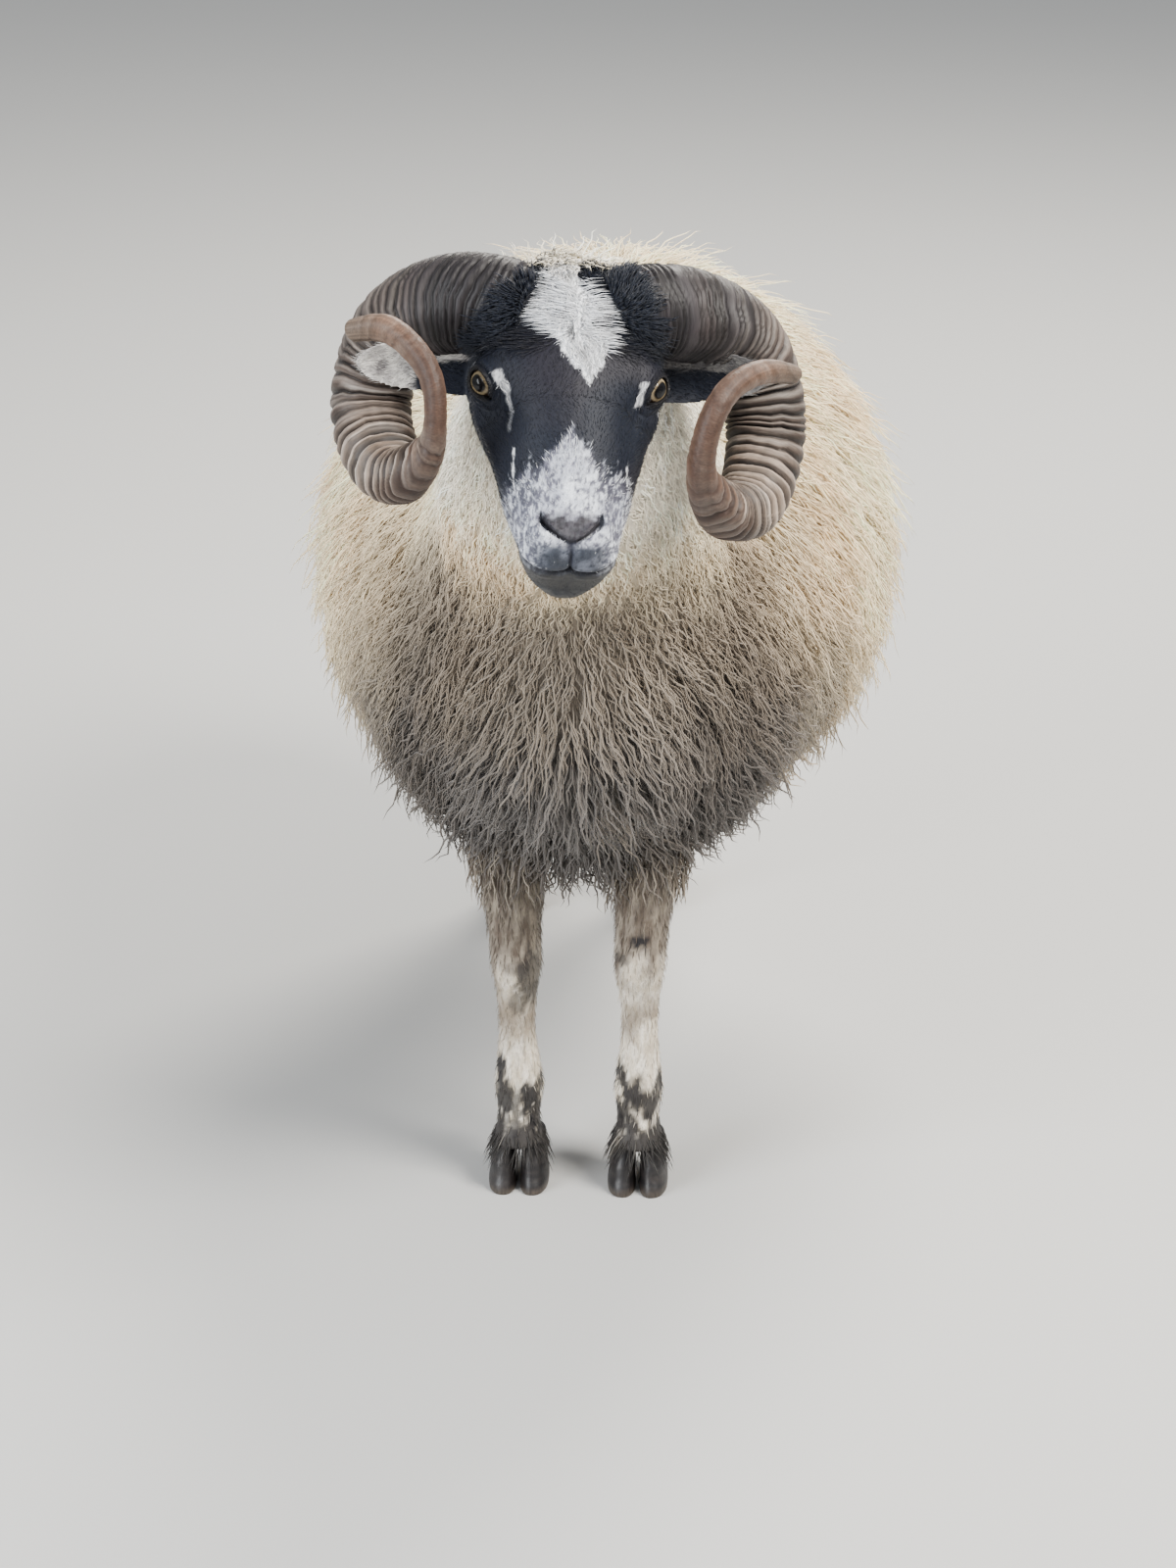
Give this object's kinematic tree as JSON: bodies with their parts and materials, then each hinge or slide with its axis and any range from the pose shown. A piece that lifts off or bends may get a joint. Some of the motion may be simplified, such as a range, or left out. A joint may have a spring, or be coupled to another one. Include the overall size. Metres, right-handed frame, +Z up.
{
  "type": "scottish blackface sheep",
  "caption": "Standing long-fleeced hill sheep with curled, ridged horns, a dark face with a pale blaze, and cloven hooves; a still, life-size figure.",
  "frame": {"origin": "on the ground, under the middle of the whole animal's bounding box", "axes": "+Z up, the animal faces -Y, its own left side is +X"},
  "size_m": [0.5658, 1.2256, 0.9217],
  "materials": {
    "wool": "long cream fleece",
    "face_hair": "short black and white hair",
    "leg_hair": "short pale hair with dark patches",
    "horn": "ridged horn",
    "hoof": "dark hoof horn",
    "eye": "wet eye"
  },
  "bodies": {
    "root": {"head": "face_hair", "ear_left": "face_hair", "ear_right": "face_hair", "eye_left": "eye", "eye_right": "eye", "horn_left": "horn", "horn_right": "horn", "neck": "wool", "torso": "wool", "tail": "wool", "leg_front_left": "leg_hair", "leg_front_right": "leg_hair", "leg_hind_left": "leg_hair", "leg_hind_right": "leg_hair", "hoof_front_left_outer": "hoof", "hoof_front_left_inner": "hoof", "hoof_front_right_outer": "hoof", "hoof_front_right_inner": "hoof", "hoof_hind_left_outer": "hoof", "hoof_hind_left_inner": "hoof", "hoof_hind_right_outer": "hoof", "hoof_hind_right_inner": "hoof"}
  },
  "joints": []
}
